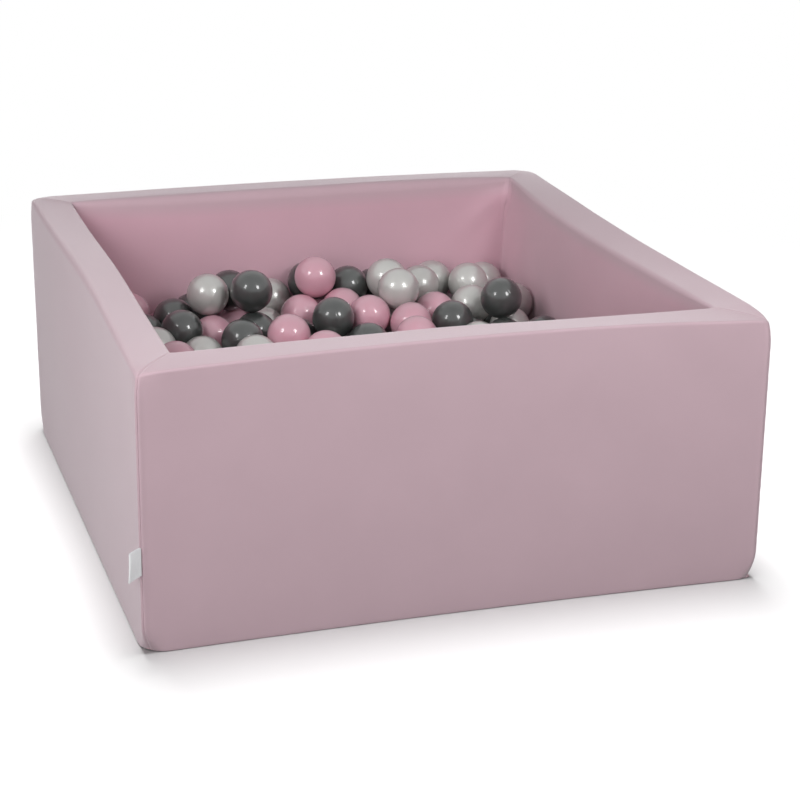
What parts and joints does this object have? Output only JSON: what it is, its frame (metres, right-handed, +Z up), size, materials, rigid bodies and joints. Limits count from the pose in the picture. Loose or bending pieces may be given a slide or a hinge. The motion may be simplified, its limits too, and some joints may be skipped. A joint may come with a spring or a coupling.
{
  "type": "ball pit",
  "caption": "Square foam-walled ball pit in a sewn jersey cover with a zipped base, filled with loose plastic play balls.",
  "frame": {"origin": "middle of the underside", "axes": "+Z up, +Y towards the back wall, +X to the right as seen from the front; the side label is in the front left corner seam"},
  "size_m": [0.9108, 0.9049, 0.4096],
  "materials": {
    "foam": "open-cell foam",
    "pink_jersey": "soft knitted jersey",
    "base_cloth": "woven cloth",
    "zip_tape": "woven tape with coil",
    "zip_metal": "satin",
    "label_satin": "satin weave",
    "ball_pink": "semi-gloss",
    "ball_grey": "semi-gloss",
    "ball_pearl": "pearl sheen",
    "ball_bed": "semi-gloss"
  },
  "bodies": {
    "pit": {"ball_bed": "ball_bed", "base_cover": "base_cloth", "cover_back": "pink_jersey", "cover_front": "pink_jersey", "cover_left": "pink_jersey", "cover_right": "pink_jersey", "floor_cover": "pink_jersey", "floor_foam": "foam", "foam_wall_back": "foam", "foam_wall_front": "foam", "foam_wall_left": "foam", "foam_wall_right": "foam", "side_label": "label_satin", "zip_stop_left": "zip_metal", "zip_stop_right": "zip_metal", "zip_tape_front": "zip_tape", "zip_tape_rear": "zip_tape"},
    "zip_slider": {"zip_slider": "zip_metal"},
    "zip_pull": {"zip_pull": "zip_metal"},
    "ball_grey_01": {"ball_grey_01": "ball_grey"},
    "ball_grey_02": {"ball_grey_02": "ball_grey"},
    "ball_grey_03": {"ball_grey_03": "ball_grey"},
    "ball_grey_04": {"ball_grey_04": "ball_grey"},
    "ball_grey_05": {"ball_grey_05": "ball_grey"},
    "ball_grey_06": {"ball_grey_06": "ball_grey"},
    "ball_grey_07": {"ball_grey_07": "ball_grey"},
    "ball_grey_08": {"ball_grey_08": "ball_grey"},
    "ball_grey_09": {"ball_grey_09": "ball_grey"},
    "ball_grey_10": {"ball_grey_10": "ball_grey"},
    "ball_grey_11": {"ball_grey_11": "ball_grey"},
    "ball_grey_12": {"ball_grey_12": "ball_grey"},
    "ball_grey_13": {"ball_grey_13": "ball_grey"},
    "ball_grey_14": {"ball_grey_14": "ball_grey"},
    "ball_grey_15": {"ball_grey_15": "ball_grey"},
    "ball_grey_16": {"ball_grey_16": "ball_grey"},
    "ball_pearl_01": {"ball_pearl_01": "ball_pearl"},
    "ball_pearl_02": {"ball_pearl_02": "ball_pearl"},
    "ball_pearl_03": {"ball_pearl_03": "ball_pearl"},
    "ball_pearl_04": {"ball_pearl_04": "ball_pearl"},
    "ball_pearl_05": {"ball_pearl_05": "ball_pearl"},
    "ball_pearl_06": {"ball_pearl_06": "ball_pearl"},
    "ball_pearl_07": {"ball_pearl_07": "ball_pearl"},
    "ball_pearl_08": {"ball_pearl_08": "ball_pearl"},
    "ball_pearl_09": {"ball_pearl_09": "ball_pearl"},
    "ball_pink_01": {"ball_pink_01": "ball_pink"},
    "ball_pink_02": {"ball_pink_02": "ball_pink"},
    "ball_pink_03": {"ball_pink_03": "ball_pink"},
    "ball_pink_04": {"ball_pink_04": "ball_pink"},
    "ball_pink_05": {"ball_pink_05": "ball_pink"},
    "ball_pink_06": {"ball_pink_06": "ball_pink"},
    "ball_pink_07": {"ball_pink_07": "ball_pink"},
    "ball_pink_08": {"ball_pink_08": "ball_pink"},
    "ball_pink_09": {"ball_pink_09": "ball_pink"},
    "ball_pink_10": {"ball_pink_10": "ball_pink"},
    "ball_pink_11": {"ball_pink_11": "ball_pink"},
    "ball_pink_12": {"ball_pink_12": "ball_pink"},
    "ball_pink_13": {"ball_pink_13": "ball_pink"},
    "ball_pink_14": {"ball_pink_14": "ball_pink"},
    "ball_pink_15": {"ball_pink_15": "ball_pink"},
    "ball_pink_16": {"ball_pink_16": "ball_pink"}
  },
  "joints": [
    {"name": "zip_slide", "type": "slide", "parent": "pit", "child": "zip_slider", "axis": [-1, 0, 0], "range_m": [0, 0.67]},
    {"name": "pull_swing", "type": "hinge", "parent": "zip_slider", "child": "zip_pull", "pos_m": [0.335, 0.3, 0.0022], "axis": [0, -1, 0], "range_deg": [0, 150]},
    {"name": "lift_ball_grey_01", "type": "slide", "parent": "pit", "child": "ball_grey_01", "axis": [0, 0, 1], "range_m": [0, 0.33]},
    {"name": "lift_ball_grey_02", "type": "slide", "parent": "pit", "child": "ball_grey_02", "axis": [0, 0, 1], "range_m": [0, 0.33]},
    {"name": "lift_ball_grey_03", "type": "slide", "parent": "pit", "child": "ball_grey_03", "axis": [0, 0, 1], "range_m": [0, 0.33]},
    {"name": "lift_ball_grey_04", "type": "slide", "parent": "pit", "child": "ball_grey_04", "axis": [0, 0, 1], "range_m": [0, 0.33]},
    {"name": "lift_ball_grey_05", "type": "slide", "parent": "pit", "child": "ball_grey_05", "axis": [0, 0, 1], "range_m": [0, 0.33]},
    {"name": "lift_ball_grey_06", "type": "slide", "parent": "pit", "child": "ball_grey_06", "axis": [0, 0, 1], "range_m": [0, 0.33]},
    {"name": "lift_ball_grey_07", "type": "slide", "parent": "pit", "child": "ball_grey_07", "axis": [0, 0, 1], "range_m": [0, 0.33]},
    {"name": "lift_ball_grey_08", "type": "slide", "parent": "pit", "child": "ball_grey_08", "axis": [0, 0, 1], "range_m": [0, 0.33]},
    {"name": "lift_ball_grey_09", "type": "slide", "parent": "pit", "child": "ball_grey_09", "axis": [0, 0, 1], "range_m": [0, 0.33]},
    {"name": "lift_ball_grey_10", "type": "slide", "parent": "pit", "child": "ball_grey_10", "axis": [0, 0, 1], "range_m": [0, 0.33]},
    {"name": "lift_ball_grey_11", "type": "slide", "parent": "pit", "child": "ball_grey_11", "axis": [0, 0, 1], "range_m": [0, 0.33]},
    {"name": "lift_ball_grey_12", "type": "slide", "parent": "pit", "child": "ball_grey_12", "axis": [0, 0, 1], "range_m": [0, 0.33]},
    {"name": "lift_ball_grey_13", "type": "slide", "parent": "pit", "child": "ball_grey_13", "axis": [0, 0, 1], "range_m": [0, 0.33]},
    {"name": "lift_ball_grey_14", "type": "slide", "parent": "pit", "child": "ball_grey_14", "axis": [0, 0, 1], "range_m": [0, 0.33]},
    {"name": "lift_ball_grey_15", "type": "slide", "parent": "pit", "child": "ball_grey_15", "axis": [0, 0, 1], "range_m": [0, 0.33]},
    {"name": "lift_ball_grey_16", "type": "slide", "parent": "pit", "child": "ball_grey_16", "axis": [0, 0, 1], "range_m": [0, 0.33]},
    {"name": "lift_ball_pearl_01", "type": "slide", "parent": "pit", "child": "ball_pearl_01", "axis": [0, 0, 1], "range_m": [0, 0.33]},
    {"name": "lift_ball_pearl_02", "type": "slide", "parent": "pit", "child": "ball_pearl_02", "axis": [0, 0, 1], "range_m": [0, 0.33]},
    {"name": "lift_ball_pearl_03", "type": "slide", "parent": "pit", "child": "ball_pearl_03", "axis": [0, 0, 1], "range_m": [0, 0.33]},
    {"name": "lift_ball_pearl_04", "type": "slide", "parent": "pit", "child": "ball_pearl_04", "axis": [0, 0, 1], "range_m": [0, 0.33]},
    {"name": "lift_ball_pearl_05", "type": "slide", "parent": "pit", "child": "ball_pearl_05", "axis": [0, 0, 1], "range_m": [0, 0.33]},
    {"name": "lift_ball_pearl_06", "type": "slide", "parent": "pit", "child": "ball_pearl_06", "axis": [0, 0, 1], "range_m": [0, 0.33]},
    {"name": "lift_ball_pearl_07", "type": "slide", "parent": "pit", "child": "ball_pearl_07", "axis": [0, 0, 1], "range_m": [0, 0.33]},
    {"name": "lift_ball_pearl_08", "type": "slide", "parent": "pit", "child": "ball_pearl_08", "axis": [0, 0, 1], "range_m": [0, 0.33]},
    {"name": "lift_ball_pearl_09", "type": "slide", "parent": "pit", "child": "ball_pearl_09", "axis": [0, 0, 1], "range_m": [0, 0.33]},
    {"name": "lift_ball_pink_01", "type": "slide", "parent": "pit", "child": "ball_pink_01", "axis": [0, 0, 1], "range_m": [0, 0.33]},
    {"name": "lift_ball_pink_02", "type": "slide", "parent": "pit", "child": "ball_pink_02", "axis": [0, 0, 1], "range_m": [0, 0.33]},
    {"name": "lift_ball_pink_03", "type": "slide", "parent": "pit", "child": "ball_pink_03", "axis": [0, 0, 1], "range_m": [0, 0.33]},
    {"name": "lift_ball_pink_04", "type": "slide", "parent": "pit", "child": "ball_pink_04", "axis": [0, 0, 1], "range_m": [0, 0.33]},
    {"name": "lift_ball_pink_05", "type": "slide", "parent": "pit", "child": "ball_pink_05", "axis": [0, 0, 1], "range_m": [0, 0.33]},
    {"name": "lift_ball_pink_06", "type": "slide", "parent": "pit", "child": "ball_pink_06", "axis": [0, 0, 1], "range_m": [0, 0.33]},
    {"name": "lift_ball_pink_07", "type": "slide", "parent": "pit", "child": "ball_pink_07", "axis": [0, 0, 1], "range_m": [0, 0.33]},
    {"name": "lift_ball_pink_08", "type": "slide", "parent": "pit", "child": "ball_pink_08", "axis": [0, 0, 1], "range_m": [0, 0.33]},
    {"name": "lift_ball_pink_09", "type": "slide", "parent": "pit", "child": "ball_pink_09", "axis": [0, 0, 1], "range_m": [0, 0.33]},
    {"name": "lift_ball_pink_10", "type": "slide", "parent": "pit", "child": "ball_pink_10", "axis": [0, 0, 1], "range_m": [0, 0.33]},
    {"name": "lift_ball_pink_11", "type": "slide", "parent": "pit", "child": "ball_pink_11", "axis": [0, 0, 1], "range_m": [0, 0.33]},
    {"name": "lift_ball_pink_12", "type": "slide", "parent": "pit", "child": "ball_pink_12", "axis": [0, 0, 1], "range_m": [0, 0.33]},
    {"name": "lift_ball_pink_13", "type": "slide", "parent": "pit", "child": "ball_pink_13", "axis": [0, 0, 1], "range_m": [0, 0.33]},
    {"name": "lift_ball_pink_14", "type": "slide", "parent": "pit", "child": "ball_pink_14", "axis": [0, 0, 1], "range_m": [0, 0.33]},
    {"name": "lift_ball_pink_15", "type": "slide", "parent": "pit", "child": "ball_pink_15", "axis": [0, 0, 1], "range_m": [0, 0.33]},
    {"name": "lift_ball_pink_16", "type": "slide", "parent": "pit", "child": "ball_pink_16", "axis": [0, 0, 1], "range_m": [0, 0.33]}
  ]
}
